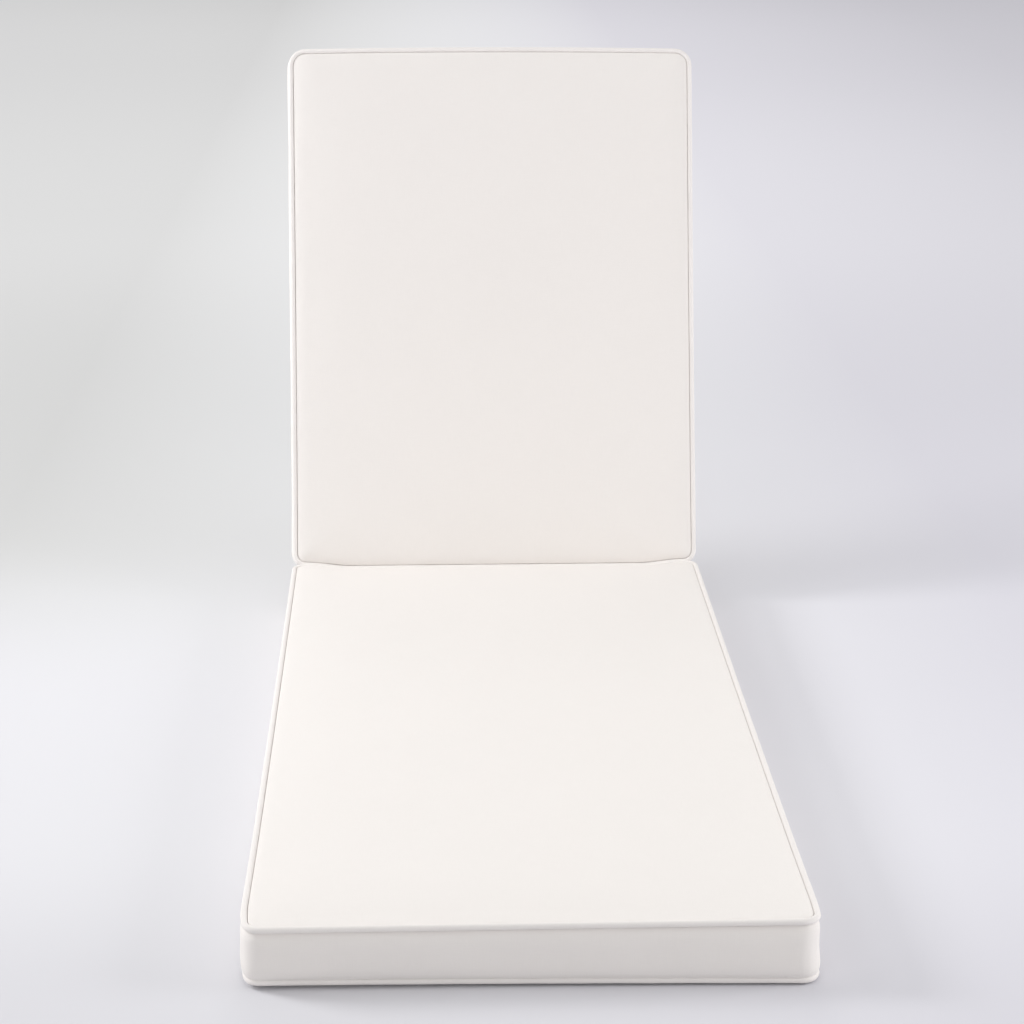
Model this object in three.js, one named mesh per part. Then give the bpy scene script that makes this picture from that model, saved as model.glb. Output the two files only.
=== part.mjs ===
// Sun lounger cushion of two boxed, welted sections, folded at the hinge that joins their upper seams.
// Millimetres, +Z up. The seat lies flat, with its foot end towards -Y, and the back leans away at +Y.
import * as THREE from "three";
import { mergeVertices } from "three/addons/utils/BufferGeometryUtils.js";

// Sizes of the cushion
const SEAM_WIDTH = 590; // across a face, from side seam to side seam
const SEAT_LENGTH = 1165; // from the foot seam to the hinge line
const BACK_LENGTH = 767; // from the hinge line to the top seam
const BACK_LEAN = 17.4; // degrees that the back leans from upright
const SEAM_CORNER = 13; // corner radius of a face seam
const TOP_CORNER = 19; // and at the back's top
const LOWER_WELT_HEIGHT = 4.4; // centre of the lower welt above the underside
const WELT_SPACING = 64; // between the centres of the two welts of a section
const UPPER_WELT_HEIGHT = LOWER_WELT_HEIGHT + WELT_SPACING;

// Welts, and the groove between face and boxing in which each one lies
const WELT_RADIUS = 3.7;
const WELT_SIDES = 8;
const PIECE_GAP = 0.3; // between sewn pieces
const GROOVE_RADIUS = WELT_RADIUS + 2 * PIECE_GAP;
const FACE_SEAM_ANGLE = 150; // degrees from outwards towards the face, where the face meets the groove
const BOXING_SEAM_ANGLE = -75; // and where the boxing leaves it
const LOWER_BOXING_SEAM_ANGLE = -47; // the boxing sags further over the lower welt
const GROOVE_STEPS = 4;

// Filling: how far the cloth stands proud of its seams
const ROLL_HEIGHT = 5; // rise of a face just inside its seam
const ROLL_REACH = 9; // distance over which most of that rise happens
const DOME_HEIGHT = 2.4; // further rise to the middle of a face
const BOXING_BULGE = 4.6; // of the boxing at half its height
const BOXING_FULLNESS = 4; // power that makes the bulge flat in the middle and steep at the seams
const SIDE_DRAW = 0.5; // the long sides pull in by this much at half their length
const FOOT_FLARE = 2; // and stand out by this much at the foot
const FOOT_FLARE_REACH = 110;
const SEAM_PULL_REACH = 25; // a face follows the rise and fall of its seam over this distance

// Unevenness of the sewing
const FOOT_LIFT = 1.1; // the foot's lower seam is this much off the floor in the middle
const FOOT_LIFT_SLOPE = 1.6; // more than that on the left and less on the right
const FOOT_LIFT_REACH = 250;
const FOOT_FORWARD = 2.1; // and it comes forward by this much in the middle, none on the left
const TOP_BOW = 2.3; // the back's top edge bows out in its middle
const HINGE_DIP = 6; // the fold draws the hinge seam down between its corners
const HINGE_DIP_FLAT = 216; // half of the stretch where it lies at full depth

// Steps of the surface
const SIDE_STEPS = { seat: 8, back: 6 };
const END_STEPS = 10;
const CORNER_STEPS = 5;
const FACE_INSETS = [140, 70, 32, 16, 8, 3]; // rows of points on a face, by distance from its seam
const UNDERSIDE_INSETS = [5, 14, 60]; // rows under the seat, flat from UNDERSIDE_FLAT on
const UNDERSIDE_FLAT = 14;
const BOXING_SHARES = [0.2, 0.5, 0.8]; // rows of points on the boxing, by share of its height
const INNER_CORNER = 5; // least corner radius of an inner row

// Strip that joins the covers behind the crease
const STRIP_THICKNESS = 1.5;
const STRIP_LEG = 9; // how far it runs down each boxing
const STRIP_HALF_LENGTH = 210;
const STRIP_GAP = 0.4;
const STRIP_FOLD = { y: 2.2, z: -5.1 }; // its bend, from the hinge line at the welts' height

const radians = THREE.MathUtils.degToRad;
const lerp = THREE.MathUtils.lerp;
const clothColour = new THREE.Color(0xf0ebe4);
const cloth = () => new THREE.MeshStandardMaterial({ color: clothColour, roughness: 0.92, metalness: 0 });
const weltCloth = () => new THREE.MeshStandardMaterial({ color: clothColour, roughness: 0.88, metalness: 0 });

// The groove's two ends, as distance outwards from the welt's centre and height above it
const faceSeam = grooveEnd(FACE_SEAM_ANGLE);
const boxingSeam = grooveEnd(BOXING_SEAM_ANGLE);
const lowerBoxingSeam = grooveEnd(LOWER_BOXING_SEAM_ANGLE);
const WELT_HALF_WIDTH = SEAM_WIDTH / 2 - faceSeam.out;
const HINGE_HALF_GAP = WELT_RADIUS + PIECE_GAP / 2;

function grooveEnd(degrees) {
  const angle = radians(degrees);
  return { out: GROOVE_RADIUS * Math.cos(angle), up: GROOVE_RADIUS * Math.sin(angle) };
}

// Rise of a face above its seam at a distance in from it: a quick roll, then a slow dome.
function crown(inset) {
  const middle = SEAM_WIDTH / 2;
  const toMiddle = 1 - Math.min(inset / middle, 1);
  return ROLL_HEIGHT * (1 - Math.exp(-inset / ROLL_REACH)) + DOME_HEIGHT * (1 - toMiddle * toMiddle);
}

// How deep the hinge seam lies below its corners at a place across the cushion.
function hingeDip(x) {
  const straight = SEAM_WIDTH / 2 - SEAM_CORNER;
  const out = (Math.abs(x) - HINGE_DIP_FLAT) / (straight - HINGE_DIP_FLAT);
  return HINGE_DIP * (1 - THREE.MathUtils.smoothstep(out, 0, 1));
}

// Stations round a section, seen from above and anticlockwise from the right end of the near edge.
// Each is the centre of its corner's circle, or a place between two of them, with its radius for the
// welt's line and its outward direction.
function rimStations(halfLength, sideSteps, nearCorner, farCorner) {
  const near = nearCorner - faceSeam.out;
  const far = farCorner - faceSeam.out;
  const corner = (sideX, sideY, radius, heading, steps) => ({
    x: sideX * (WELT_HALF_WIDTH - radius),
    y: sideY * (halfLength - radius),
    radius,
    heading,
    steps,
  });
  const corners = [
    corner(1, -1, near, -90, sideSteps),
    corner(1, 1, far, 0, END_STEPS),
    corner(-1, 1, far, 90, sideSteps),
    corner(-1, -1, near, 180, END_STEPS),
  ];
  const stations = [];
  corners.forEach((from, i) => {
    const to = corners[(i + 1) % corners.length];
    for (let k = 0; k <= CORNER_STEPS; k++) {
      stations.push(station(from, to, 0, from.heading + (90 * k) / CORNER_STEPS));
    }
    for (let k = 1; k < from.steps; k++) {
      stations.push(station(from, to, k / from.steps, from.heading + 90));
    }
  });
  return { stations, halfLength };
}

function station(from, to, share, heading) {
  return {
    x: lerp(from.x, to.x, share),
    y: lerp(from.y, to.y, share),
    radius: lerp(from.radius, to.radius, share),
    nx: Math.cos(radians(heading)),
    ny: Math.sin(radians(heading)),
  };
}

// A point of a row that runs a set distance outside the welt's centre line, or inside it if negative.
// Inner rows keep a small corner, so their rectangle of corner centres shrinks instead.
function rimPoint(rim, at, outset) {
  const radius = Math.max(at.radius + outset, INNER_CORNER);
  const shrink = radius - at.radius - outset;
  return {
    x: at.x * (1 - shrink / (WELT_HALF_WIDTH - at.radius)) + at.nx * radius,
    y: at.y * (1 - shrink / (rim.halfLength - at.radius)) + at.ny * radius,
  };
}

// How far the boxing stands out beyond the line between its seams, by share of its height.
function bulge(share) {
  return BOXING_BULGE * (1 - Math.abs(2 * share - 1) ** BOXING_FULLNESS);
}

// The rows of points over a section, from the middle of its face over the rim to the middle below.
// Each row has its distance outside the welt line, its height, and its share of each seam's drift.
function padRows(underside) {
  const rows = [];
  for (const inset of FACE_INSETS) {
    rows.push({
      out: faceSeam.out - inset,
      z: UPPER_WELT_HEIGHT + faceSeam.up + crown(inset),
      upper: Math.exp(-inset / SEAM_PULL_REACH),
      lower: 0,
    });
  }
  for (let k = 0; k <= GROOVE_STEPS; k++) {
    const end = grooveEnd(lerp(FACE_SEAM_ANGLE, 360 + BOXING_SEAM_ANGLE, k / GROOVE_STEPS));
    rows.push({ out: end.out, z: UPPER_WELT_HEIGHT + end.up, upper: 1, lower: 0 });
  }
  for (const share of BOXING_SHARES) {
    rows.push({
      out: lerp(boxingSeam.out, lowerBoxingSeam.out, share) + bulge(share),
      z: lerp(UPPER_WELT_HEIGHT + boxingSeam.up, LOWER_WELT_HEIGHT - lowerBoxingSeam.up, share),
      upper: 1 - share,
      lower: share,
    });
  }
  for (let k = GROOVE_STEPS; k >= 0; k--) {
    const end = grooveEnd(lerp(FACE_SEAM_ANGLE, 360 + LOWER_BOXING_SEAM_ANGLE, k / GROOVE_STEPS));
    rows.push({ out: end.out, z: LOWER_WELT_HEIGHT - end.up, upper: 0, lower: 1 });
  }
  return rows.concat(underside.rows);
}

// Under the seat the cloth meets the floor a little way in from the seam and lies flat on it.
function flatUnderside() {
  const seamHeight = LOWER_WELT_HEIGHT - faceSeam.up;
  const rows = UNDERSIDE_INSETS.map((inset) => {
    const lift = Math.max(1 - inset / UNDERSIDE_FLAT, 0) ** 2;
    return { out: faceSeam.out - inset, z: seamHeight * lift, upper: 0, lower: lift };
  });
  return { rows, middleHeight: 0 };
}

// The back's rear panel is crowned as its face is.
function crownedUnderside() {
  const height = (inset) => LOWER_WELT_HEIGHT - faceSeam.up - crown(inset);
  const rows = [...FACE_INSETS].reverse().map((inset) => ({
    out: faceSeam.out - inset,
    z: height(inset),
    upper: 0,
    lower: Math.exp(-inset / SEAM_PULL_REACH),
  }));
  return { rows, middleHeight: height(SEAM_WIDTH / 2) };
}

// One section: its outline, and how far its two seams drift out and up from their even places. The
// straight runs are the stations whose outward direction lies along an axis.
function section({ nearEdge, farEdge, sideSteps, nearCorner, farCorner, drift }) {
  const halfLength = (farEdge - nearEdge) / 2;
  const middleY = (farEdge + nearEdge) / 2;
  const rim = rimStations(halfLength, sideSteps, nearCorner, farCorner);
  rim.stations.forEach((at) => {
    const along = at.y / (halfLength - at.radius);
    const draw = Math.abs(at.nx) === 1 ? SIDE_DRAW * (1 - along * along) : 0;
    const seams = drift(at, at.y + middleY);
    at.upper = { out: seams.upper.out - draw, up: seams.upper.up };
    at.lower = { out: seams.lower.out - draw, up: seams.lower.up };
  });
  return { rim, middleY };
}

function rowPoint({ rim, middleY }, at, row) {
  const p = rimPoint(rim, at, row.out);
  const out = at.upper.out * row.upper + at.lower.out * row.lower;
  const up = at.upper.up * row.upper + at.lower.up * row.lower;
  return new THREE.Vector3(p.x + at.nx * out, p.y + at.ny * out + middleY, row.z + up);
}

// The middle of a face is a line along the section, as long as its length exceeds its width.
function spineRow({ rim, middleY }, z) {
  const reach = rim.halfLength - WELT_HALF_WIDTH;
  return rim.stations.map((at) => {
    const y = at.y * (reach / (rim.halfLength - at.radius));
    return new THREE.Vector3(0, y + middleY, z);
  });
}

// Joins rows of points into a closed skin whose faces point out. Triangles that have shrunk to a
// line, where a row closes on the spine, are left out.
function skin(rows, closesOnItself) {
  const corners = [];
  const last = closesOnItself ? rows.length : rows.length - 1;
  for (let i = 0; i < last; i++) {
    const row = rows[i];
    const next = rows[(i + 1) % rows.length];
    for (let j = 0; j < row.length; j++) {
      const k = (j + 1) % row.length;
      for (const triangle of [[row[j], next[j], next[k]], [row[j], next[k], row[k]]]) {
        const [a, b, c] = triangle;
        if (!a.equals(b) && !b.equals(c) && !c.equals(a)) {
          corners.push(...triangle);
        }
      }
    }
  }
  const merged = mergeVertices(new THREE.BufferGeometry().setFromPoints(corners), 1e-4);
  merged.computeVertexNormals();
  return merged;
}

function padGeometry(part, underside) {
  const rows = padRows(underside).map((row) => part.rim.stations.map((at) => rowPoint(part, at, row)));
  const faceMiddle = UPPER_WELT_HEIGHT + faceSeam.up + crown(SEAM_WIDTH / 2);
  return skin([spineRow(part, faceMiddle), ...rows, spineRow(part, underside.middleHeight)], false);
}

// A welt is a round section carried along its seam.
function weltGeometry(part, seam) {
  const height = seam === "upper" ? UPPER_WELT_HEIGHT : LOWER_WELT_HEIGHT;
  const rows = [];
  for (let k = 0; k < WELT_SIDES; k++) {
    const angle = (-2 * Math.PI * (k + 0.5)) / WELT_SIDES;
    const row = {
      out: WELT_RADIUS * Math.cos(angle),
      z: height + WELT_RADIUS * Math.sin(angle),
      upper: seam === "upper" ? 1 : 0,
      lower: seam === "lower" ? 1 : 0,
    };
    rows.push(part.rim.stations.map((at) => rowPoint(part, at, row)));
  }
  return skin(rows, true);
}

const leanOfBack = radians(BACK_LEAN);

// The seat stands out at the foot, where its lower seam lifts and comes forward unevenly, and its
// hinge seam dips straight down.
const seat = section({
  nearEdge: -SEAT_LENGTH + faceSeam.out,
  farEdge: -HINGE_HALF_GAP,
  sideSteps: SIDE_STEPS.seat,
  nearCorner: SEAM_CORNER,
  farCorner: SEAM_CORNER,
  drift: (at, y) => {
    const fromFoot = y + SEAT_LENGTH;
    const across = at.x / (SEAM_WIDTH / 2);
    const flare = FOOT_FLARE * Math.exp(-fromFoot / FOOT_FLARE_REACH) * Math.abs(at.nx);
    const forward = FOOT_FORWARD * (1 + across) ** 2 * Math.max(-at.ny, 0);
    const lift = Math.max(FOOT_LIFT - FOOT_LIFT_SLOPE * across, 0) * Math.exp(-fromFoot / FOOT_LIFT_REACH);
    const dip = at.ny === 1 ? hingeDip(at.x) : 0;
    return {
      upper: { out: flare, up: -dip },
      lower: { out: flare + forward, up: lift },
    };
  },
});

// The back's hinge seam follows the seat's, which in the back's own flat frame is mostly outwards.
const back = section({
  nearEdge: HINGE_HALF_GAP,
  farEdge: BACK_LENGTH - faceSeam.out,
  sideSteps: SIDE_STEPS.back,
  nearCorner: SEAM_CORNER,
  farCorner: TOP_CORNER,
  drift: (at) => {
    const dip = at.ny === -1 ? hingeDip(at.x) : 0;
    const across = at.x / (WELT_HALF_WIDTH - at.radius);
    const bow = at.ny === 1 ? TOP_BOW * (1 - across * across) : 0;
    return {
      upper: { out: dip * Math.cos(leanOfBack) + bow, up: -dip * Math.sin(leanOfBack) },
      lower: { out: bow, up: 0 },
    };
  },
});

// A point this far down a boxing from its upper seam and this far off it, as distance out and height
// from the welt's centre, where the seam has drifted.
function boxingPoint(drift, down, off) {
  const share = BOXING_SHARES[0];
  const run = new THREE.Vector2(
    (lowerBoxingSeam.out - boxingSeam.out - drift.out) * share + bulge(share),
    -(WELT_SPACING + boxingSeam.up + lowerBoxingSeam.up + drift.up) * share,
  ).normalize();
  return new THREE.Vector2(
    boxingSeam.out + run.x * down - run.y * off,
    boxingSeam.up + run.y * down + run.x * off,
  );
}

// The joining strip in section: down the seat's boxing, under both welts and down the back's boxing.
// Its points are distances beyond the hinge line and heights above the welts' centres there.
function stripShape() {
  const seatDrift = { out: 0, up: -HINGE_DIP };
  const backDrift = { out: HINGE_DIP * Math.cos(leanOfBack), up: -HINGE_DIP * Math.sin(leanOfBack) };
  const hingeLine = new THREE.Vector2();
  const onSeat = (down, off) => boxingPoint(seatDrift, down, off).sub(new THREE.Vector2(HINGE_HALF_GAP, 0));
  const onBack = (down, off) => {
    const p = boxingPoint(backDrift, down, off);
    p.x *= -1;
    return p.rotateAround(hingeLine, Math.PI / 2 - leanOfBack).add(new THREE.Vector2(HINGE_HALF_GAP, 0));
  };
  const inner = STRIP_GAP + STRIP_THICKNESS;
  return new THREE.Shape([
    onSeat(STRIP_LEG, STRIP_GAP),
    onSeat(STRIP_LEG, inner),
    onSeat(inner, inner),
    new THREE.Vector2(STRIP_FOLD.y, STRIP_FOLD.z - STRIP_THICKNESS),
    onBack(inner, inner),
    onBack(STRIP_LEG, inner),
    onBack(STRIP_LEG, STRIP_GAP),
    onBack(STRIP_GAP, STRIP_GAP),
    new THREE.Vector2(STRIP_FOLD.y, STRIP_FOLD.z),
    onSeat(STRIP_GAP, STRIP_GAP),
  ]);
}

// The strip's section runs straight along the stretch where the hinge seam lies at full depth.
function stripGeometry() {
  const depth = 2 * STRIP_HALF_LENGTH;
  const strip = new THREE.ExtrudeGeometry(stripShape(), { depth, bevelEnabled: false });
  const across = new THREE.Vector3(1, 0, 0);
  const along = new THREE.Vector3(0, 1, 0);
  const upwards = new THREE.Vector3(0, 0, 1);
  strip.applyMatrix4(new THREE.Matrix4().makeBasis(along, upwards, across));
  return strip.translate(-STRIP_HALF_LENGTH, 0, UPPER_WELT_HEIGHT - HINGE_DIP);
}

const cushion = new THREE.Group();

function addPiece(parent, name, geometry, material) {
  const piece = new THREE.Mesh(geometry, material);
  piece.name = name;
  parent.add(piece);
}

addPiece(cushion, "seat_pad", padGeometry(seat, flatUnderside()), cloth());
addPiece(cushion, "seat_top_welt", weltGeometry(seat, "upper"), weltCloth());
addPiece(cushion, "seat_bottom_welt", weltGeometry(seat, "lower"), weltCloth());

// The back is made flat, as the seat is, and turned up about its own welt at the hinge.
const hinge = new THREE.Group();
hinge.position.set(0, HINGE_HALF_GAP, UPPER_WELT_HEIGHT);
hinge.rotation.x = Math.PI / 2 - leanOfBack;
const backSection = new THREE.Group();
backSection.position.set(0, -HINGE_HALF_GAP, -UPPER_WELT_HEIGHT);
hinge.add(backSection);
cushion.add(hinge);
addPiece(backSection, "back_pad", padGeometry(back, crownedUnderside()), cloth());
addPiece(backSection, "back_front_welt", weltGeometry(back, "upper"), weltCloth());
addPiece(backSection, "back_rear_welt", weltGeometry(back, "lower"), weltCloth());
addPiece(cushion, "hinge_strip", stripGeometry(), cloth());

// The origin is the middle of the box's underside.
const bounds = new THREE.Box3().setFromObject(cushion, true);
const middle = bounds.getCenter(new THREE.Vector3());
cushion.position.set(-middle.x, -middle.y, -bounds.min.z);

export default cushion;
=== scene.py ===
"""Looks of a sun lounger cushion in two boxed, welted sections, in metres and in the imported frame.

+X is across the cushion, +Y runs from the foot end to the back, and the seat lies on z = 0. Each
section is worked out flat, with the hinge line at y = 0 and its face up, and then put in its place.
"""

import math

import bpy
import numpy as np
from mathutils import Matrix, Vector


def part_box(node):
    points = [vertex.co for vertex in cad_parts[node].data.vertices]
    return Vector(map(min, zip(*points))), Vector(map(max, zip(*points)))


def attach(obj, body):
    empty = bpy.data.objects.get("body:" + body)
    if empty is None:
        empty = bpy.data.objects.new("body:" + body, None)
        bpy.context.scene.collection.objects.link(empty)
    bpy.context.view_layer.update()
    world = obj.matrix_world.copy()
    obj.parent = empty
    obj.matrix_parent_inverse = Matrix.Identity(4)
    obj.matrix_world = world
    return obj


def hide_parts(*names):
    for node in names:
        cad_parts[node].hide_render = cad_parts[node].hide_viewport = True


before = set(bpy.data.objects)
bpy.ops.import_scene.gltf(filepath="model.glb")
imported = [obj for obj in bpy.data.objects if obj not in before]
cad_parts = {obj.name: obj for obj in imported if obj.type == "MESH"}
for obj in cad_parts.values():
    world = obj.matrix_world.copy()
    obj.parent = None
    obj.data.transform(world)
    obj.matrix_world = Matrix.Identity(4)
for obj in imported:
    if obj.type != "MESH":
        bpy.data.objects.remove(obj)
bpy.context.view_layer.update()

MM = 0.001

# Sizes of the cushion, as the frame's solids have them
SEAM_HALF_WIDTH = 295 * MM
SEAT_LENGTH = 1165 * MM
BACK_LENGTH = 767 * MM
BACK_LEAN = math.radians(17.4)
SEAM_CORNER = 13 * MM
TOP_CORNER = 19 * MM
LOWER_WELT = 4.4 * MM
WELT_SPACING = 64 * MM
UPPER_WELT = LOWER_WELT + WELT_SPACING
WELT_RADIUS = 3.7 * MM
PIECE_GAP = 0.3 * MM
HINGE_HALF_GAP = WELT_RADIUS + PIECE_GAP / 2
GROOVE_RADIUS = 3.95 * MM
SEAM_OUT = 3.72 * MM  # from a face seam out to the middle of its welt
SEAM_UP = 2.15 * MM  # a face seam above the middle of its welt
UPPER_BOXING_EDGE = (1.11 * MM, 4.15 * MM)  # outside the middle of the upper welt, and below it
LOWER_BOXING_EDGE = (2.93 * MM, 3.14 * MM)  # outside the middle of the lower welt, and above it

# Filling
ROLL_REACH = 9 * MM
BOXING_BULGE = 4.6 * MM
BOXING_FULLNESS = 4
SIDE_DRAW = 0.5 * MM
FOOT_FLARE = 2 * MM
FOOT_FLARE_REACH = 110 * MM
FOOT_FALL = 4.2 * MM  # the face falls softly towards the foot
FOOT_FALL_REACH = 28 * MM
FOOT_FALL_START = 12 * MM
FOOT_TUCK = 2.5 * MM  # the sides come in again at the foot's corners, more on the left
FOOT_TUCK_SLOPE = 1 * MM
FOOT_TUCK_REACH = 26 * MM
FOOT_SLIM = 3.4 * MM  # the boxing's sides bulge less towards the foot, and least on the right
FOOT_SLIM_SLOPE = 0.9 * MM
FOOT_SLIM_REACH = 90 * MM
FOLD_HEIGHT = 1.4 * MM  # soft fold from the back's lower left corner
FOLD_WIDTH = 9 * MM
FOLD_LENGTH = 45 * MM
PULL_REACH = 25 * MM
NIP_DEPTH = 1.5 * MM  # how far the cloth dives beside a welt
NIP_REACH = 1.6 * MM

# Unevenness of the sewing
FOOT_LIFT = 2.7 * MM
FOOT_LIFT_SLOPE = 1.6 * MM
FOOT_LIFT_REACH = 250 * MM
FOOT_FORWARD = 2.1 * MM
TOP_BOW = 2.3 * MM
HINGE_DIP = 6 * MM
HINGE_DIP_FLAT = 216 * MM
UNDERSIDE_FLAT = 18 * MM
UNDERSIDE_CURVE = 1.6

# Swelling by simulation, which lifts the cover off the foam's own rolled edge
FOAM_RISE = 4.2 * MM
SWELL_LIMIT = 3.3 * MM
SWELL_REACH = 6 * MM  # of the limit: how soon the foam holds the cover back
SWELL_STEP = 8 * MM
SWELL_FRAMES = 20
SWELL_PRESSURE = 4
SWELL_QUALITY = 6

# Steps of the finished surfaces
NET_STEP = 13 * MM
WELT_STEP = 4.5 * MM
EDGE_LINES = np.array([0, 1.2, 2.8, 5, 8, 12, 17, 24, 33, 44]) * MM  # net lines beside a seam
FINE_SHARES = np.array([1.5, 3.5, 7, 12, 19, 27, 37, 50, 63, 73, 81, 88, 93, 96.5, 98.5]) / 100
COARSE_SHARES = np.array([0.2, 0.5, 0.8])  # rows down the boxing, as the fine ones
WELT_SIDES = 16
CORNER_POINTS = 13
STRIP_LINES = 106
FACE_SEAM_ANGLE = 150  # degrees from outwards towards the face, where the face meets the groove
UPPER_GROOVE_END = 285  # and where the boxing leaves it
LOWER_GROOVE_END = 313
UPPER_GROOVE_POINTS = 7
LOWER_GROOVE_POINTS = 8

# Play of the cloth, as sums of waves with near lengths
WAVE_COUNT = 9
WAVE_SPREAD = (0.7, 1.5)
FACE_PLAY = 0.35 * MM
FACE_PLAY_LENGTH = 240 * MM
FACE_PLAY_REACH = 40 * MM
PUCKER_DEPTH = 0.3 * MM
PUCKER_LENGTH = 42 * MM
PUCKER_REACH = 7 * MM
BOXING_PLAY = 0.35 * MM
BOXING_PLAY_LENGTH = 110 * MM
WELT_PLAY = 0.07 * MM
WELT_PLAY_LENGTH = 30 * MM
FACE_SEED = 11
LOWER_PANEL_SEED = 12
PUCKER_SEED_STEP = 50
BOXING_SEED = 31
FIRST_WELT_SEED = 21

# Cloth
THREAD = 0.6 * MM
SLUB_LENGTH = 22 * MM
SLUB_WIDTH = 1.3 * THREAD
PATCHES_PER_METRE = 7.0
PATCH_DETAIL = 3.0
WEAVE_TONE = 0.10
SLUB_TONE = 0.07
PATCH_TONE = 0.02
MEAN_WEAVE = 0.8
MEAN_NOISE = 0.5
WEAVE_HEIGHT = 0.09 * MM
SLUB_HEIGHT = 0.10 * MM
STITCH_LENGTH = 3.4 * MM
STITCH_SHARE = 0.72  # of its length, that a stitch lies on top
STITCH_THREAD = 0.35 * MM
CLOTH_ROUGHNESS = 0.82
SLUB_ROUGHNESS = 0.16
CLOTH_SPECULAR = 0.25
CLOTH_SHEEN = 0.12
CLOTH_SHEEN_ROUGHNESS = 0.5
COVER_COLOUR = (0.9, 0.861, 0.83)
WELT_COLOUR = (0.905, 0.866, 0.84)
LOW_PANEL_OFFSET = (2.03, 0.41)  # keeps each panel's threads from following the next one's
BOXING_OFFSET = (5.17, 3.29)

# Strip that joins the covers behind the crease
STRIP_THICKNESS = 1.3 * MM
STRIP_LEG = 9 * MM
STRIP_LEG_SHARES = (1, 0.6, 0.3)  # points of a leg, from its end towards the fold
STRIP_ON_BOXING = 0.2  # share of the boxing's height that sets a leg's direction
STRIP_HALF_LENGTH = 210 * MM
STRIP_GAP = 0.5 * MM
STRIP_FOLD = (2.2 * MM, -5.1 * MM)
STRIP_STITCHES = (2.5 * MM, 22 * MM)

# Studio: each lamp's place and target from the hinge line, its side and its power
FLOOR_REACH = 30.0
EVEN_LIGHT_STRENGTH = 0.62
LAMPS = [
    ("left lamp", (-2.6, -0.2, 1.55), (0, -0.35, 0.1), 0.8, 41),
    ("high left lamp", (-1.9, -0.5, 2.4), (0, -0.4, 0.1), 0.7, 6),
    ("right lamp", (2.6, -1.2, 1.0), (0, -0.8, 0.1), 1.4, 31.8),
    ("front lamp", (-1.4, -3.2, 1.7), (0, -0.6, 0.2), 1.0, 5.9),
    ("far lamp", (0, 3.8, 4.0), (0, 3.8, 0), 2.5, 30),
    ("farthest lamp", (0, 8.0, 5.0), (0, 8.0, 0), 2.5, 60),
]

# Paper on the floor: its colour, and the painted light and shade added over it in front, further off
# and to the sides: darker to the sides and in front, lighter further off
PAPER = (0.781, 0.779, 0.811)
PAINTED_LIGHT_TO_THE_RIGHT = (-0.004, -0.008, 0.009)
PAINTED_SHADE_TO_THE_SIDES = (-0.161, -0.169, -0.153)
PAINTED_SHADE_IN_FRONT = (-0.075, -0.078, -0.074)
PAINTED_SHADE_BEYOND = (-0.015, -0.013, -0.028)
PAINTED_LIGHT_BEYOND_TO_THE_RIGHT = (0.08, 0.077, 0.097)
PAINTED_LIGHT_FAR = (0.168, 0.167, 0.167)
PAINTED_SHADE_FAR_TO_THE_RIGHT = (-0.047, -0.047, -0.049)
PAINTED_SHADE_FARTHEST = (-0.05, -0.051, -0.049)
PAPER_ROUGHNESS = 0.95
PAPER_SPECULAR = 0.1

# Where each part of the painted light and shade on the paper starts and is full, in metres from the
# hinge's middle
PAINTED_LIGHT_BEGINS = (-4.0, -1.6)
PAINTED_LIGHT_ENDS_AT_THE_SIDES = (5.0, 2.8)
IN_FRONT = (-0.8, -1.3)
BEYOND = (-0.4, 0.4)
FAR = (0.5, 3.0)
FARTHEST = (3.4, 7.0)
SIDE_REACH = 0.8
FAR_SIDE_REACH = 2.4

# Camera, as the photograph's seams give it: place beyond the hinge line, and turns in degrees
CAMERA_PLACE = (-0.1122, -3.4045, 1.2220)
CAMERA_PAN = 2.308
CAMERA_TILT = 17.478
CAMERA_ROLL = -0.167
FOCAL_PIXELS = 2400
PICTURE_SIDE = 1024
SENSOR = 36

# The hinge line: the solids' welts are eight-sided, with a flat outward
SOLID_WELT_REACH = WELT_RADIUS * math.cos(math.pi / 8)
HINGE_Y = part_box("seat_top_welt")[1].y + HINGE_HALF_GAP - SOLID_WELT_REACH
HINGE_X = (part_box("back_front_welt")[0].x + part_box("back_front_welt")[1].x) / 2

seat_place = Matrix.Translation((HINGE_X, HINGE_Y, 0))
back_place = (
    Matrix.Translation((HINGE_X, HINGE_Y + HINGE_HALF_GAP, UPPER_WELT))
    @ Matrix.Rotation(math.pi / 2 - BACK_LEAN, 4, "X")
    @ Matrix.Translation((0, -HINGE_HALF_GAP, -UPPER_WELT))
)


def smoothstep(t):
    """An S-shaped rise from 0 to 1."""
    t = np.clip(t, 0, 1)
    return t * t * (3 - 2 * t)


def waves(x, y, length, seed):
    """A gentle uneven field: the mean of plane waves with seeded headings, phases and lengths."""
    draw = np.random.default_rng(seed)
    total = np.zeros(np.broadcast(x, y).shape)
    for _ in range(WAVE_COUNT):
        heading = draw.uniform(0, 2 * math.pi)
        phase = draw.uniform(0, 2 * math.pi)
        wave = 2 * math.pi / (length * draw.uniform(*WAVE_SPREAD))
        total = total + np.sin(wave * (x * math.cos(heading) + y * math.sin(heading)) + phase)
    return total / math.sqrt(WAVE_COUNT)


def hinge_dip(x):
    """Depth of the hinge seam below its corners: full over the middle, easing to none."""
    straight = SEAM_HALF_WIDTH - SEAM_CORNER
    return HINGE_DIP * (1 - smoothstep((np.abs(x) - HINGE_DIP_FLAT) / (straight - HINGE_DIP_FLAT)))


def foam(inset):
    """Rise of the foam's own face over its seam: the quick roll of a crown alone."""
    return FOAM_RISE * (1 - np.exp(-inset / ROLL_REACH))


def fade(distance):
    """What is left of a seam's rise or fall at a distance in from it."""
    return np.exp(-np.maximum(distance, 0) / PULL_REACH)


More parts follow.
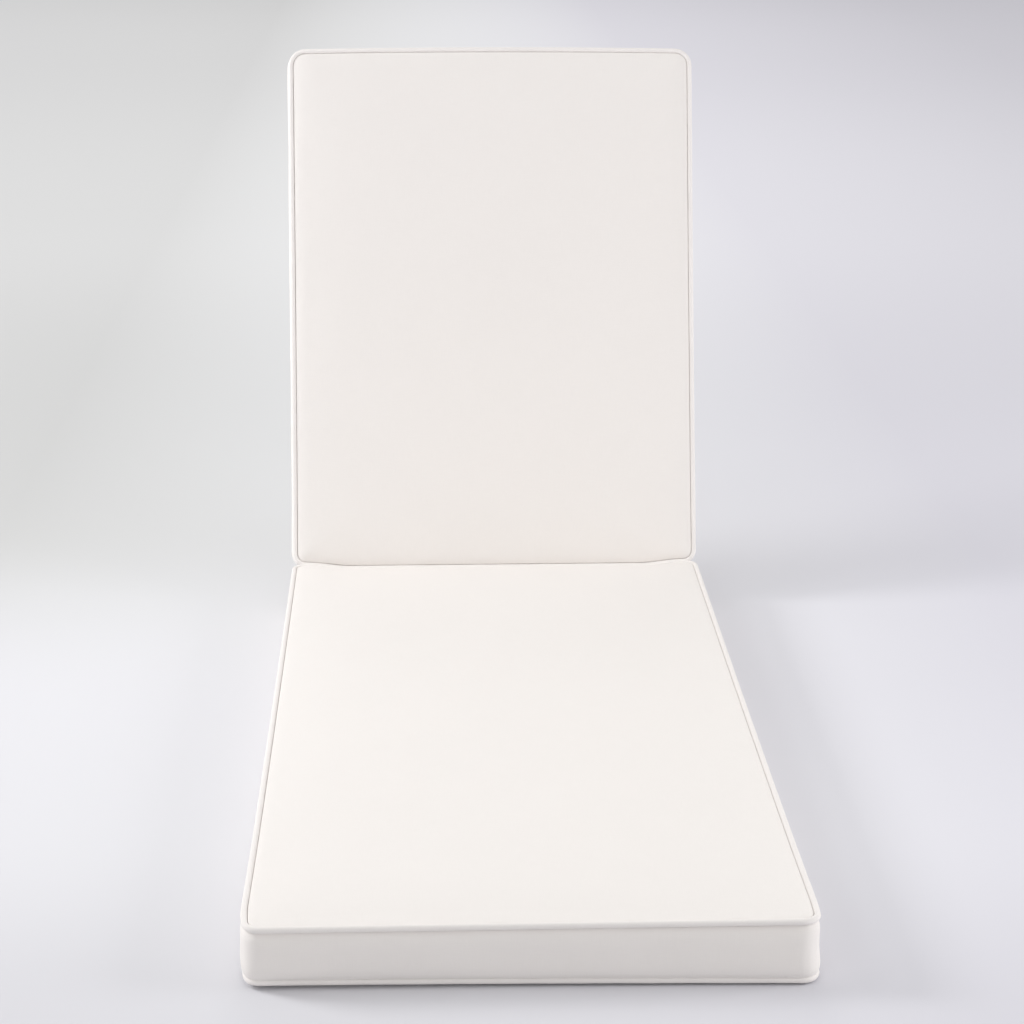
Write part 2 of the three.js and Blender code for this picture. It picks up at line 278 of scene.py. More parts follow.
class Section:
    """One section laid flat: the rectangle of its face seam, and how its seams drift."""

    def __init__(self, name, near, far, near_corner, far_corner):
        self.name = name
        self.near, self.far = near, far
        self.middle = (near + far) / 2
        self.half = (far - near) / 2
        self.near_corner, self.far_corner = near_corner, far_corner

    def corner(self, y):
        """Corner radius of the end that a place is nearer to."""
        return np.where(y < self.middle, self.near_corner, self.far_corner)

    def drift(self, x, y):
        """Moves of the upper and the lower seam at (x, y), each fading in from its own edge.

        The long sides draw in as a parabola and stand out at the foot, where the lower seam lifts
        and comes forward; the hinge seam dips and the back's top edge bows."""
        to_side = SEAM_HALF_WIDTH - np.abs(x)
        to_near, to_far = y - self.near, self.far - y
        along = np.clip((y - self.middle) / (self.half - SEAM_CORNER), -1, 1)
        draw = -SIDE_DRAW * (1 - along**2)
        upper = [np.zeros_like(x), np.zeros_like(x), np.zeros_like(x)]
        lower = [np.zeros_like(x), np.zeros_like(x), np.zeros_like(x)]
        if self.name == "seat":
            across = x / SEAM_HALF_WIDTH
            draw = draw + FOOT_FLARE * np.exp(-to_near / FOOT_FLARE_REACH)
            tuck = FOOT_TUCK - FOOT_TUCK_SLOPE * across
            draw = draw - tuck * np.exp(-((to_near / FOOT_TUCK_REACH) ** 2))
            lift = np.maximum(FOOT_LIFT - FOOT_LIFT_SLOPE * across, 0)
            lift = lift * np.exp(-to_near / FOOT_LIFT_REACH)
            inset = np.minimum(np.minimum(to_side, to_near), to_far)
            upper[2] = -hinge_dip(x) * fade(to_far)
            lower[1] = -FOOT_FORWARD * (1 + across) ** 2 * fade(to_near)
            lower[2] = lift * fade(inset)
        else:
            straight = SEAM_HALF_WIDTH - TOP_CORNER
            dip = hinge_dip(x) * fade(to_near)
            bow = TOP_BOW * np.maximum(1 - (x / straight) ** 2, 0) * fade(to_far)
            upper[1] = bow - dip * math.cos(BACK_LEAN)
            upper[2] = -dip * math.sin(BACK_LEAN)
            lower[1] = bow
        upper[0] = lower[0] = np.sign(x) * draw * fade(to_side)
        return np.stack(upper, -1), np.stack(lower, -1)


seat = Section("seat", -SEAT_LENGTH, -HINGE_HALF_GAP - SEAM_OUT, SEAM_CORNER, SEAM_CORNER)
back = Section("back", HINGE_HALF_GAP + SEAM_OUT, BACK_LENGTH, SEAM_CORNER, TOP_CORNER)


def even_lines(half, step):
    """Net lines an even step apart from edge to edge."""
    return np.linspace(-half, half, 2 * round(half / step) + 1)


def graded_lines(half, step):
    """Net lines close together beside the seams and a step apart between."""
    inner = half - EDGE_LINES[-1]
    middle = np.linspace(-inner, inner, 2 * round(inner / step) + 1)
    return np.concatenate([-half + EDGE_LINES[:-1], middle, half - EDGE_LINES[-2::-1]])


def face_net(section, lines_x, lines_y):
    """Flat places of a face's net and their distance in from the seam.

    A net point in a corner square goes to the quarter disc: u * sqrt(1 - v * v / 2), and v alike.
    The distance in is that of a rounded rectangle."""
    x, y = np.meshgrid(lines_x, lines_y, indexing="ij")
    corner = section.corner(y + section.middle)
    inner_x, inner_y = SEAM_HALF_WIDTH - corner, section.half - corner
    u = np.maximum(np.abs(x) - inner_x, 0) / corner
    v = np.maximum(np.abs(y) - inner_y, 0) / corner
    both = (u > 0) & (v > 0)
    round_x = np.sign(x) * (inner_x + corner * u * np.sqrt(1 - v * v / 2))
    round_y = np.sign(y) * (inner_y + corner * v * np.sqrt(1 - u * u / 2))
    x, y = np.where(both, round_x, x), np.where(both, round_y, y)
    qx, qy = np.abs(x) - inner_x, np.abs(y) - inner_y
    from_centre = np.hypot(np.maximum(qx, 0), np.maximum(qy, 0))
    inset = corner - from_centre - np.minimum(np.maximum(qx, qy), 0)
    return x, y + section.middle, np.maximum(inset, 0)


def rim_loop(shape):
    """Index pairs of a net's edge, anticlockwise from its first corner, the first not repeated."""
    last_x, last_y = shape[0] - 1, shape[1] - 1
    up_x, down_x = np.arange(last_x), np.arange(last_x, 0, -1)
    up_y, down_y = np.arange(last_y), np.arange(last_y, 0, -1)
    i = np.concatenate([up_x, np.full(last_y, last_x), down_x, np.zeros(last_y, int)])
    j = np.concatenate([np.zeros(last_x, int), up_y, np.full(last_x, last_y), down_y])
    return i, j


def outward(section, x, y):
    """Outward direction of the rim at its own points: along an axis, or from a corner's centre."""
    corner = section.corner(y)
    qx = np.sign(x) * np.maximum(np.abs(x) - (SEAM_HALF_WIDTH - corner), 0)
    y = y - section.middle
    qy = np.sign(y) * np.maximum(np.abs(y) - (section.half - corner), 0)
    length = np.hypot(qx, qy)
    return qx / length, qy / length


def bulge(share):
    """How far the boxing stands out beyond the line between its seams, flat in the middle."""
    return BOXING_BULGE * (1 - np.abs(2 * share - 1) ** BOXING_FULLNESS)


def rim_rows(shares):
    """Profile from the upper face seam round to the lower one: out from the welt line, height, and
    share of the way from the upper seam to the lower.

    Each groove is an arc round its welt, and the boxing between is a bulge with nipped edges."""
    first = np.radians(np.linspace(FACE_SEAM_ANGLE, UPPER_GROOVE_END, UPPER_GROOVE_POINTS)[1:])
    last = np.radians(np.linspace(FACE_SEAM_ANGLE, LOWER_GROOVE_END, LOWER_GROOVE_POINTS)[:0:-1])
    top = UPPER_WELT - UPPER_BOXING_EDGE[1]
    low = LOWER_WELT + LOWER_BOXING_EDGE[1]
    from_edge = np.minimum(shares, 1 - shares) * (top - low)
    edge = UPPER_BOXING_EDGE[0] + (LOWER_BOXING_EDGE[0] - UPPER_BOXING_EDGE[0]) * shares
    boxing = edge + bulge(shares) - NIP_DEPTH * np.exp(-from_edge / NIP_REACH)
    out = np.concatenate([GROOVE_RADIUS * np.cos(first), boxing, GROOVE_RADIUS * np.cos(last)])
    up = np.concatenate(
        [
            UPPER_WELT + GROOVE_RADIUS * np.sin(first),
            top + (low - top) * shares,
            LOWER_WELT - GROOVE_RADIUS * np.sin(last),
        ]
    )
    share = np.concatenate([np.zeros(len(first)), shares, np.ones(len(last))])
    return out, up, share


def face_play(section, x, y, inset, seed):
    """Unevenness of a face: wide soft waves, and puckers that start inside the seam and die out.

    A pucker's share is t * exp(1 - t), where t is the distance in from the seam over its reach."""
    t = inset / PUCKER_REACH
    wide = FACE_PLAY * waves(x, y, FACE_PLAY_LENGTH, seed) * (1 - np.exp(-inset / FACE_PLAY_REACH))
    pucker_waves = waves(x, y, PUCKER_LENGTH, seed + PUCKER_SEED_STEP)
    puckers = PUCKER_DEPTH * pucker_waves * t * np.exp(1 - t)
    across, along = x + SEAM_HALF_WIDTH, y - section.near
    if section.name == "seat":
        fall = FOOT_FALL * np.exp(-along / FOOT_FALL_REACH) * (1 - np.exp(-inset / FOOT_FALL_START))
        return wide + puckers - fall
    off_fold, down_fold = (across - along) / math.sqrt(2), (across + along) / math.sqrt(2)
    fold = FOLD_HEIGHT * np.exp(-((off_fold / FOLD_WIDTH) ** 2) - down_fold / FOLD_LENGTH)
    return wide + puckers + fold * (1 - np.exp(-inset / FOLD_WIDTH))


def boxing_play(section, x, y, nx, share):
    """Unevenness of the boxing, none at the seams and full at half height.

    It is waves along it, and on the seat's sides the loss of bulge towards the foot."""
    wide = BOXING_PLAY * waves(x, y, BOXING_PLAY_LENGTH, BOXING_SEED)
    if section.name == "seat":
        slim = FOOT_SLIM + FOOT_SLIM_SLOPE * x / SEAM_HALF_WIDTH
        wide = wide - slim * np.abs(nx) * np.exp(-(y - section.near) / FOOT_SLIM_REACH)
    return wide[None] * np.sin(math.pi * share)[:, None]


def pad_points(section, lines_x, lines_y, shares, top_rise, low_rise):
    """All points of a pad: face net, rim rows, lower net. Rises are heights over each seam."""
    x, y, inset = face_net(section, lines_x, lines_y)
    upper, lower = section.drift(x, y)
    flat = np.stack([x, y, np.zeros_like(x)], -1)
    face = flat + upper
    face[..., 2] += UPPER_WELT + SEAM_UP + top_rise
    under = flat + lower
    under[..., 2] += LOWER_WELT - SEAM_UP - low_rise
    if section.name == "seat":
        lift = np.maximum(1 - inset / UNDERSIDE_FLAT, 0) ** UNDERSIDE_CURVE
        under[..., 2] = (LOWER_WELT - SEAM_UP + lower[..., 2]) * lift
    i, j = rim_loop(x.shape)
    nx, ny = outward(section, x[i, j], y[i, j])
    out, up, share = rim_rows(shares)
    rim = np.zeros((len(out), len(i), 3))
    reach = SEAM_OUT + out[:, None] + boxing_play(section, x[i, j], y[i, j], nx, share)
    rim[..., 0] = x[i, j] + nx * reach
    rim[..., 1] = y[i, j] + ny * reach
    rim[..., 2] = up[:, None]
    rim += upper[i, j] * (1 - share)[:, None, None] + lower[i, j] * share[:, None, None]
    return face, rim, under, inset


def pad_quads(shape, rim_count):
    """Quads of a pad: the face's net, the rim's bands and the lower net turned over."""
    nx, ny = shape
    net = np.arange(nx * ny).reshape(nx, ny)
    i, j = rim_loop(shape)
    around = len(i)
    rows = [net[i, j]]
    rows += [nx * ny + k * around + np.arange(around) for k in range(rim_count)]
    low = net + nx * ny + rim_count * around
    rows.append(low[i, j])
    top = np.stack([net[:-1, :-1], net[1:, :-1], net[1:, 1:], net[:-1, 1:]], -1).reshape(-1, 4)
    bottom = np.stack([low[:-1, :-1], low[:-1, 1:], low[1:, 1:], low[1:, :-1]], -1).reshape(-1, 4)
    bands = []
    for first, second in zip(rows[:-1], rows[1:]):
        bands.append(np.stack([first, second, np.roll(second, -1), np.roll(first, -1)], -1))
    return top, np.concatenate(bands), bottom, rows


def place(points, matrix):
    """Points carried by a placing matrix."""
    m = np.array(matrix)
    return points @ m[:3, :3].T + m[:3, 3]


def new_mesh(name, points, quads, uv=None, material=None):
    """A mesh object from whole arrays: points, quads, and a cloth place for each quad's corners."""
    mesh = bpy.data.meshes.new(name)
    mesh.from_pydata(points.tolist(), [], quads.tolist())
    if uv is not None:
        layer = mesh.uv_layers.new(name="cloth")
        layer.data.foreach_set("uv", uv.reshape(-1).astype(np.float32))
    mesh.shade_smooth()
    if material:
        mesh.materials.append(material)
    obj = bpy.data.objects.new(name, mesh)
    bpy.context.scene.collection.objects.link(obj)
    return obj


def cubic_sample(grid, rows, columns):
    """A grid's values at fractional rows and columns, cubic over four neighbours each way."""

    def taps(at, count):
        """The four places on a line around each given one, and their weights."""
        base = np.clip(np.floor(at).astype(int), 0, count - 2)
        t = at - base
        weights = np.stack(
            [
                -0.5 * t + t**2 - 0.5 * t**3,
                1 - 2.5 * t**2 + 1.5 * t**3,
                0.5 * t + 2 * t**2 - 1.5 * t**3,
                -0.5 * t**2 + 0.5 * t**3,
            ]
        )
        index = np.clip(base + np.arange(-1, 3)[:, None], 0, count - 1)
        return index, weights

    index_r, weight_r = taps(rows, grid.shape[0])
    index_c, weight_c = taps(columns, grid.shape[1])
    along = sum(weight_r[k][:, None] * grid[index_r[k]] for k in range(4))
    return sum(weight_c[k][None, :] * along[:, index_c[k]] for k in range(4))


def swell(section):
    """How far pressure lifts a section's two faces, as height grids on an even net.

    A closed net with the foam's low crown is pinned at the rim, and at the seat's underside, and
    run as cloth with pressure and no gravity. The lift is held under a limit by an exponential."""
    lines_x = even_lines(SEAM_HALF_WIDTH, SWELL_STEP)
    lines_y = even_lines(section.half, SWELL_STEP)
    inset = face_net(section, lines_x, lines_y)[2]
    rise = foam(inset)
    face, rim, under, _ = pad_points(section, lines_x, lines_y, COARSE_SHARES, rise, rise)
    points = np.concatenate([part.reshape(-1, 3) for part in (face, rim, under)])
    top, bands, bottom, rows = pad_quads(inset.shape, len(rim))
    net = new_mesh("swelling", points, np.concatenate([top, bands, bottom]))
    pinned = np.unique(np.concatenate(rows))
    if section.name == "seat":
        pinned = np.union1d(pinned, np.arange(len(points) - inset.size, len(points)))
    group = net.vertex_groups.new(name="sewn")
    group.add(pinned.tolist(), 1.0, "REPLACE")
    cloth = net.modifiers.new("cloth", "CLOTH")
    cloth.settings.use_pressure = True
    cloth.settings.uniform_pressure_force = SWELL_PRESSURE
    cloth.settings.effector_weights.gravity = 0
    cloth.settings.vertex_group_mass = "sewn"
    cloth.settings.quality = SWELL_QUALITY
    cloth.point_cache.frame_start = 1
    cloth.point_cache.frame_end = SWELL_FRAMES
    for number in range(1, SWELL_FRAMES + 1):
        bpy.context.scene.frame_set(number)
    swollen = net.evaluated_get(bpy.context.evaluated_depsgraph_get()).data
    moved = np.zeros(len(points) * 3, np.float32)
    swollen.vertices.foreach_get("co", moved)
    lift = moved.reshape(-1, 3)[:, 2] - points[:, 2]
    bpy.context.scene.frame_set(1)
    mesh = net.data
    bpy.data.objects.remove(net)
    bpy.data.meshes.remove(mesh)
    free = np.maximum([lift[: inset.size], -lift[-inset.size :]], 0)
    held = SWELL_LIMIT * (1 - np.exp(-free / SWELL_REACH))
    return held.reshape(2, *inset.shape)


def rises(section, lines_x, lines_y, inset):
    """Heights of both faces over their seams: the foam's crown and the swelling."""
    up, down = swell(section)
    rows = (lines_x + SEAM_HALF_WIDTH) / (2 * SEAM_HALF_WIDTH) * (up.shape[0] - 1)
    columns = (lines_y + section.half) / (2 * section.half) * (up.shape[1] - 1)
    up = foam(inset) + cubic_sample(up, rows, columns)
    down = foam(inset) + cubic_sample(down, rows, columns)
    return up, down


def pad(section, place_matrix, material):
    """A filled section as one closed mesh, with its cloth's places in metres and one subdivision.

    Each panel has its own stretch of cloth: the face by its flat place, the boxing by the distance
    along its seam and down it, the lower panel by its flat place turned over."""
    lines_x = graded_lines(SEAM_HALF_WIDTH, NET_STEP)
    lines_y = graded_lines(section.half, NET_STEP)
    x, y, inset = face_net(section, lines_x, lines_y)
    up, down = rises(section, lines_x, lines_y, inset)
    up = up + face_play(section, x, y, inset, FACE_SEED)
    down = down + face_play(section, x, y, inset, LOWER_PANEL_SEED)
    face, rim, under, _ = pad_points(section, lines_x, lines_y, FINE_SHARES, up, down)
    points = np.concatenate([part.reshape(-1, 3) for part in (face, rim, under)])
    top, bands, bottom, rows = pad_quads(inset.shape, len(rim))
    flat = np.stack([x, y], -1).reshape(-1, 2)
    low_start = len(points) - inset.size
    uv_top = flat[top]
    uv_low = flat[bottom - low_start] * (-1, 1) + LOW_PANEL_OFFSET
    seam = points[rows[0]]
    run = np.linalg.norm(np.roll(seam, -1, 0) - seam, axis=1)
    along = np.concatenate([[0], np.cumsum(run)])
    here, there = along[:-1], along[1:]
    count = len(run)
    on_long_side = np.stack([points[row][count // 3] for row in rows])  # a third of the way round
    steps_down = np.linalg.norm(np.diff(on_long_side, axis=0), axis=1)
    depth = np.concatenate([[0], np.cumsum(steps_down)])
    uv_bands = []
    for first, second in zip(depth[:-1], depth[1:]):
        corners = [(here, first), (here, second), (there, second), (there, first)]
        uv_bands.append(np.stack([np.stack([u, np.full(count, v)], -1) for u, v in corners], 1))
    uv = np.concatenate([uv_top, *(band + BOXING_OFFSET for band in uv_bands), uv_low])
    quads = np.concatenate([top, bands, bottom])
    obj = new_mesh(f"{section.name}_cushion", place(points, place_matrix), quads, uv, material)
    finer = obj.modifiers.new("finer", "SUBSURF")
    finer.levels = finer.render_levels = 1
    return obj


def seam_path(section, step):
    """Points of a section's seam rectangle at even steps, with outward directions, anticlockwise.

    The straight runs are even, and each corner is a quarter circle."""
    arcs = []
    for side_x, side_y, heading in ((1, -1, -90), (1, 1, 0), (-1, 1, 90), (-1, -1, 180)):
        radius = section.near_corner if side_y < 0 else section.far_corner
        turn = np.radians(heading + np.linspace(0, 90, CORNER_POINTS))
        centre = (side_x * (SEAM_HALF_WIDTH - radius), side_y * (section.half - radius))
        arcs.append((centre + radius * np.stack([np.cos(turn), np.sin(turn)], -1), turn))
    places, headings = [], []
    for (arc, turn), (next_arc, _) in zip(arcs, arcs[1:] + arcs[:1]):
        run = next_arc[0] - arc[-1]
        share = np.linspace(0, 1, round(np.linalg.norm(run) / step) + 1)[1:-1, None]
        places += [arc, arc[-1] + share * run]
        headings += [turn, np.full(len(share), turn[-1])]
    places, headings = np.concatenate(places), np.concatenate(headings)
    return places[:, 0], places[:, 1] + section.middle, np.cos(headings), np.sin(headings)


def welt(section, upper, name, place_matrix, material, seed):
    """A welt: a circle carried along its seam, a little thicker and thinner as covered cord is.

    Its cloth's places are the distance along and round."""
    x, y, nx, ny = seam_path(section, WELT_STEP)
    drift = section.drift(x, y)[0 if upper else 1]
    height = np.full_like(x, UPPER_WELT if upper else LOWER_WELT)
    centre = np.stack([x + nx * SEAM_OUT, y + ny * SEAM_OUT, height], -1)
    centre += drift
    radius = WELT_RADIUS + WELT_PLAY * waves(x, y, WELT_PLAY_LENGTH, seed)
    angle = np.linspace(0, 2 * math.pi, WELT_SIDES, endpoint=False)
    out, up = np.cos(angle), np.sin(angle)
    ring = np.stack(
        [
            centre[:, None, 0] + nx[:, None] * radius[:, None] * out,
            centre[:, None, 1] + ny[:, None] * radius[:, None] * out,
            centre[:, None, 2] + radius[:, None] * up,
        ],
        -1,
    )
    count = len(x)
    index = np.arange(count * WELT_SIDES).reshape(count, WELT_SIDES)
    ahead, round_on = np.roll(index, -1, 0), np.roll(index, -1, 1)
    both = np.roll(ahead, -1, 1)
    quads = np.stack([index, ahead, both, round_on], -1)
    run = np.linalg.norm(np.roll(centre, -1, 0) - centre, axis=1)
    along = np.concatenate([[0], np.cumsum(run)])
    u0 = np.repeat(along[:-1, None], WELT_SIDES, 1)
    u1 = np.repeat(along[1:, None], WELT_SIDES, 1)
    v0 = np.repeat((np.arange(WELT_SIDES) * 2 * math.pi * WELT_RADIUS / WELT_SIDES)[None], count, 0)
    v1 = v0 + 2 * math.pi * WELT_RADIUS / WELT_SIDES
    corners = [(u0, v0), (u1, v0), (u1, v1), (u0, v1)]
    uv = np.stack([np.stack(corner, -1) for corner in corners], 2)
    points = place(ring.reshape(-1, 3), place_matrix)
    return new_mesh(name, points, quads.reshape(-1, 4), uv, material)


def wire(tree, socket, value):
    """Sets a socket, or joins it to another."""
    if isinstance(value, bpy.types.NodeSocket):
        tree.links.new(value, socket)
    else:
        socket.default_value = value


def calc(tree, operation, *values):
    """The result of one sum on numbers or sockets."""
    node = tree.nodes.new("ShaderNodeMath")
    node.operation = operation
    for socket, value in zip(node.inputs, values):
        wire(tree, socket, value)
    return node.outputs[0]


def total(tree, *values):
    """Several values added up."""
    result = values[0]
    for value in values[1:]:
        result = calc(tree, "ADD", result, value)
    return result


def noise(tree, vector, scale, detail=2.0):
    """A noise of 0 to 1 over a vector."""
    node = tree.nodes.new("ShaderNodeTexNoise")
    wire(tree, node.inputs["Vector"], vector)
    node.inputs["Scale"].default_value = scale
    node.inputs["Detail"].default_value = detail
    return node.outputs["Fac"]


def stretched(tree, u, v, step_u, step_v):
    """A vector of cloth places in steps of different lengths along and across the threads."""
    node = tree.nodes.new("ShaderNodeCombineXYZ")
    wire(tree, node.inputs["X"], calc(tree, "DIVIDE", u, step_u))
    wire(tree, node.inputs["Y"], calc(tree, "DIVIDE", v, step_v))
    return node.outputs[0]


def canvas(name, colour, bias=0.0, stitch_rows=()):
    """A plain-woven canvas over the cloth's own places, in metres.

    Each thread is a rounded ridge, |cos| of its place, and rides over or under its crossings by the
    sign of the product of both cosines. Slubs are long thin noise along either thread. The colour
    and the height both follow the weave and the slubs, and the colour also a soft wide unevenness.
    A stitch row is dashes of thread at one place across the cloth."""
    material = bpy.data.materials.new(name)
    material.use_nodes = True
    tree = material.node_tree
    shader = tree.nodes["Principled BSDF"]
    places = tree.nodes.new("ShaderNodeUVMap")
    places.uv_map = "cloth"
    turn = tree.nodes.new("ShaderNodeMapping")
    turn.inputs["Rotation"].default_value = (0, 0, bias)
    tree.links.new(places.outputs[0], turn.inputs["Vector"])
    split = tree.nodes.new("ShaderNodeSeparateXYZ")
    tree.links.new(turn.outputs[0], split.inputs[0])
    u, v = split.outputs["X"], split.outputs["Y"]
    across = calc(tree, "COSINE", calc(tree, "MULTIPLY", u, math.pi / THREAD))
    along = calc(tree, "COSINE", calc(tree, "MULTIPLY", v, math.pi / THREAD))
    over = calc(tree, "MULTIPLY", across, along)
    warp = calc(tree, "MULTIPLY", calc(tree, "ABSOLUTE", across), calc(tree, "ADD", 1.0, over))
    weft = calc(tree, "MULTIPLY", calc(tree, "ABSOLUTE", along), calc(tree, "SUBTRACT", 1.0, over))
    weave = calc(tree, "MULTIPLY", calc(tree, "MAXIMUM", warp, weft), 0.5)
    warp_slub = noise(tree, stretched(tree, u, v, SLUB_WIDTH, SLUB_LENGTH), 1.0)
    weft_slub = noise(tree, stretched(tree, u, v, SLUB_LENGTH, SLUB_WIDTH), 1.0)
    slub = calc(tree, "MULTIPLY", calc(tree, "ADD", warp_slub, weft_slub), 0.5)
    coordinates = tree.nodes.new("ShaderNodeTexCoord")
    patches = noise(tree, coordinates.outputs["Object"], PATCHES_PER_METRE, PATCH_DETAIL)
    tone = total(
        tree,
        1 - MEAN_WEAVE * WEAVE_TONE - MEAN_NOISE * SLUB_TONE - MEAN_NOISE * PATCH_TONE,
        calc(tree, "MULTIPLY", weave, WEAVE_TONE),
        calc(tree, "MULTIPLY", slub, SLUB_TONE),
        calc(tree, "MULTIPLY", patches, PATCH_TONE),
    )
    height = total(
        tree, calc(tree, "MULTIPLY", weave, WEAVE_HEIGHT), calc(tree, "MULTIPLY", slub, SLUB_HEIGHT)
    )
    for row in stitch_rows:
        along_stitch = calc(tree, "FRACT", calc(tree, "DIVIDE", u, STITCH_LENGTH))
        dash = calc(tree, "LESS_THAN", along_stitch, STITCH_SHARE)
        off = calc(tree, "ABSOLUTE", calc(tree, "SUBTRACT", v, row))
        roundness = calc(tree, "POWER", calc(tree, "DIVIDE", off, STITCH_THREAD), 2.0)
        thread = calc(tree, "SUBTRACT", 1.0, roundness)
        stitch = calc(tree, "MULTIPLY", calc(tree, "MAXIMUM", thread, 0.0), dash)
        height = total(tree, height, calc(tree, "MULTIPLY", stitch, STITCH_THREAD))
    paint = tree.nodes.new("ShaderNodeVectorMath")
    paint.operation = "SCALE"
    paint.inputs[0].default_value = colour
    tree.links.new(tone, paint.inputs["Scale"])
    tree.links.new(paint.outputs[0], shader.inputs["Base Color"])
    rough = calc(tree, "ADD", CLOTH_ROUGHNESS, calc(tree, "MULTIPLY", slub, SLUB_ROUGHNESS))
    tree.links.new(rough, shader.inputs["Roughness"])
    bump = tree.nodes.new("ShaderNodeBump")
    bump.inputs["Distance"].default_value = 1.0
    tree.links.new(height, bump.inputs["Height"])
    tree.links.new(bump.outputs[0], shader.inputs["Normal"])
    shader.inputs["Specular IOR Level"].default_value = CLOTH_SPECULAR
    shader.inputs["Sheen Weight"].default_value = CLOTH_SHEEN
    shader.inputs["Sheen Roughness"].default_value = CLOTH_SHEEN_ROUGHNESS
    return material


def strip_section():
    """The joining strip's middle line in section, from its end on the seat's boxing to the back's.

    Points are distances beyond the hinge line and heights above the welts' middles, where the hinge
    seam has its full dip. Each leg runs down its boxing's upper part at a small distance off it."""

    def leg(out_drift, up_drift, down):
        """A point of a leg, a length down its boxing from the upper edge, given its drift."""
        share = STRIP_ON_BOXING
        widening = LOWER_BOXING_EDGE[0] - UPPER_BOXING_EDGE[0]
        height = WELT_SPACING - UPPER_BOXING_EDGE[1] - LOWER_BOXING_EDGE[1]
        run_out = (widening - out_drift) * share + bulge(share)
        run = np.array([run_out, -(height + up_drift) * share])
        run /= np.linalg.norm(run)
        off = STRIP_GAP + STRIP_THICKNESS / 2
        edge = np.array([UPPER_BOXING_EDGE[0], -UPPER_BOXING_EDGE[1]])
        return edge + run * down + np.array([-run[1], run[0]]) * off

    turn = math.pi / 2 - BACK_LEAN
    on_seat, on_back = [], []
    for leg_share in STRIP_LEG_SHARES:
        down = STRIP_LEG * leg_share
        on_seat.append(leg(0, -HINGE_DIP, down) - (HINGE_HALF_GAP, 0))
        out, up = leg(HINGE_DIP * math.cos(BACK_LEAN), -HINGE_DIP * math.sin(BACK_LEAN), down)
        beyond = -out * math.cos(turn) - up * math.sin(turn) + HINGE_HALF_GAP
        on_back.append((beyond, -out * math.sin(turn) + up * math.cos(turn)))
    fold = (STRIP_FOLD[0], STRIP_FOLD[1] - STRIP_THICKNESS / 2)
    return np.array([*on_seat, fold, *on_back[::-1]])


def rounded(line, times=2):
    """A line with its corners cut twice, each point a quarter or three quarters along its span."""
    for _ in range(times):
        first, second = line[:-1], line[1:]
        cut = np.stack([0.75 * first + 0.25 * second, 0.25 * first + 0.75 * second], 1)
        line = np.concatenate([line[:1], cut.reshape(-1, 2)[1:-1], line[-1:]])
    return line


def hinge_strip(material):
    """The strip's rounded middle line, given its thickness and drawn across the cushion."""
    line = rounded(strip_section())
    tangent = np.gradient(line, axis=0)
    tangent /= np.linalg.norm(tangent, axis=1, keepdims=True)
    normal = np.stack([-tangent[:, 1], tangent[:, 0]], -1) * STRIP_THICKNESS / 2
    loop = np.concatenate([line + normal, (line - normal)[::-1]])
    width = np.concatenate([[0], np.cumsum(np.linalg.norm(np.diff(line, axis=0), axis=1))])
    across = np.concatenate([width, width[::-1]])
    lines_x = np.linspace(-STRIP_HALF_LENGTH, STRIP_HALF_LENGTH, STRIP_LINES)
    count = len(loop)
    points = np.zeros((len(lines_x), count, 3))
    points[..., 0] = lines_x[:, None]
    points[..., 1] = loop[:, 0]
    points[..., 2] = UPPER_WELT - HINGE_DIP + loop[:, 1]
    index = np.arange(len(lines_x) * count).reshape(len(lines_x), count)
    here, ahead = index[:-1], index[1:]
    sides = np.stack([here, np.roll(here, -1, 1), np.roll(ahead, -1, 1), ahead], -1).reshape(-1, 4)
    k = np.arange(count // 2 - 1)
    first, last = index[0], index[-1]
    low = np.stack([first[k], first[count - 1 - k], first[count - 2 - k], first[k + 1]], -1)
    high = np.stack([last[k], last[k + 1], last[count - 2 - k], last[count - 1 - k]], -1)
    quads = np.concatenate([sides, low, high])
    places = np.stack([np.repeat(lines_x, count), np.tile(across, len(lines_x))], -1)
    points = place(points.reshape(-1, 3), seat_place)
    return new_mesh("joining_strip", points, quads, places[quads], material)


def area_light(name, location, target, size, power):
    """A square soft lamp that faces a point."""
    lamp = bpy.data.lights.new(name, "AREA")
    lamp.shape = "SQUARE"
    lamp.size = size
    lamp.energy = power
    obj = bpy.data.objects.new(name, lamp)
    obj.location = location
    direction = Vector(target) - Vector(location)
    obj.rotation_euler = direction.to_track_quat("-Z", "Y").to_euler()
    bpy.context.scene.collection.objects.link(obj)


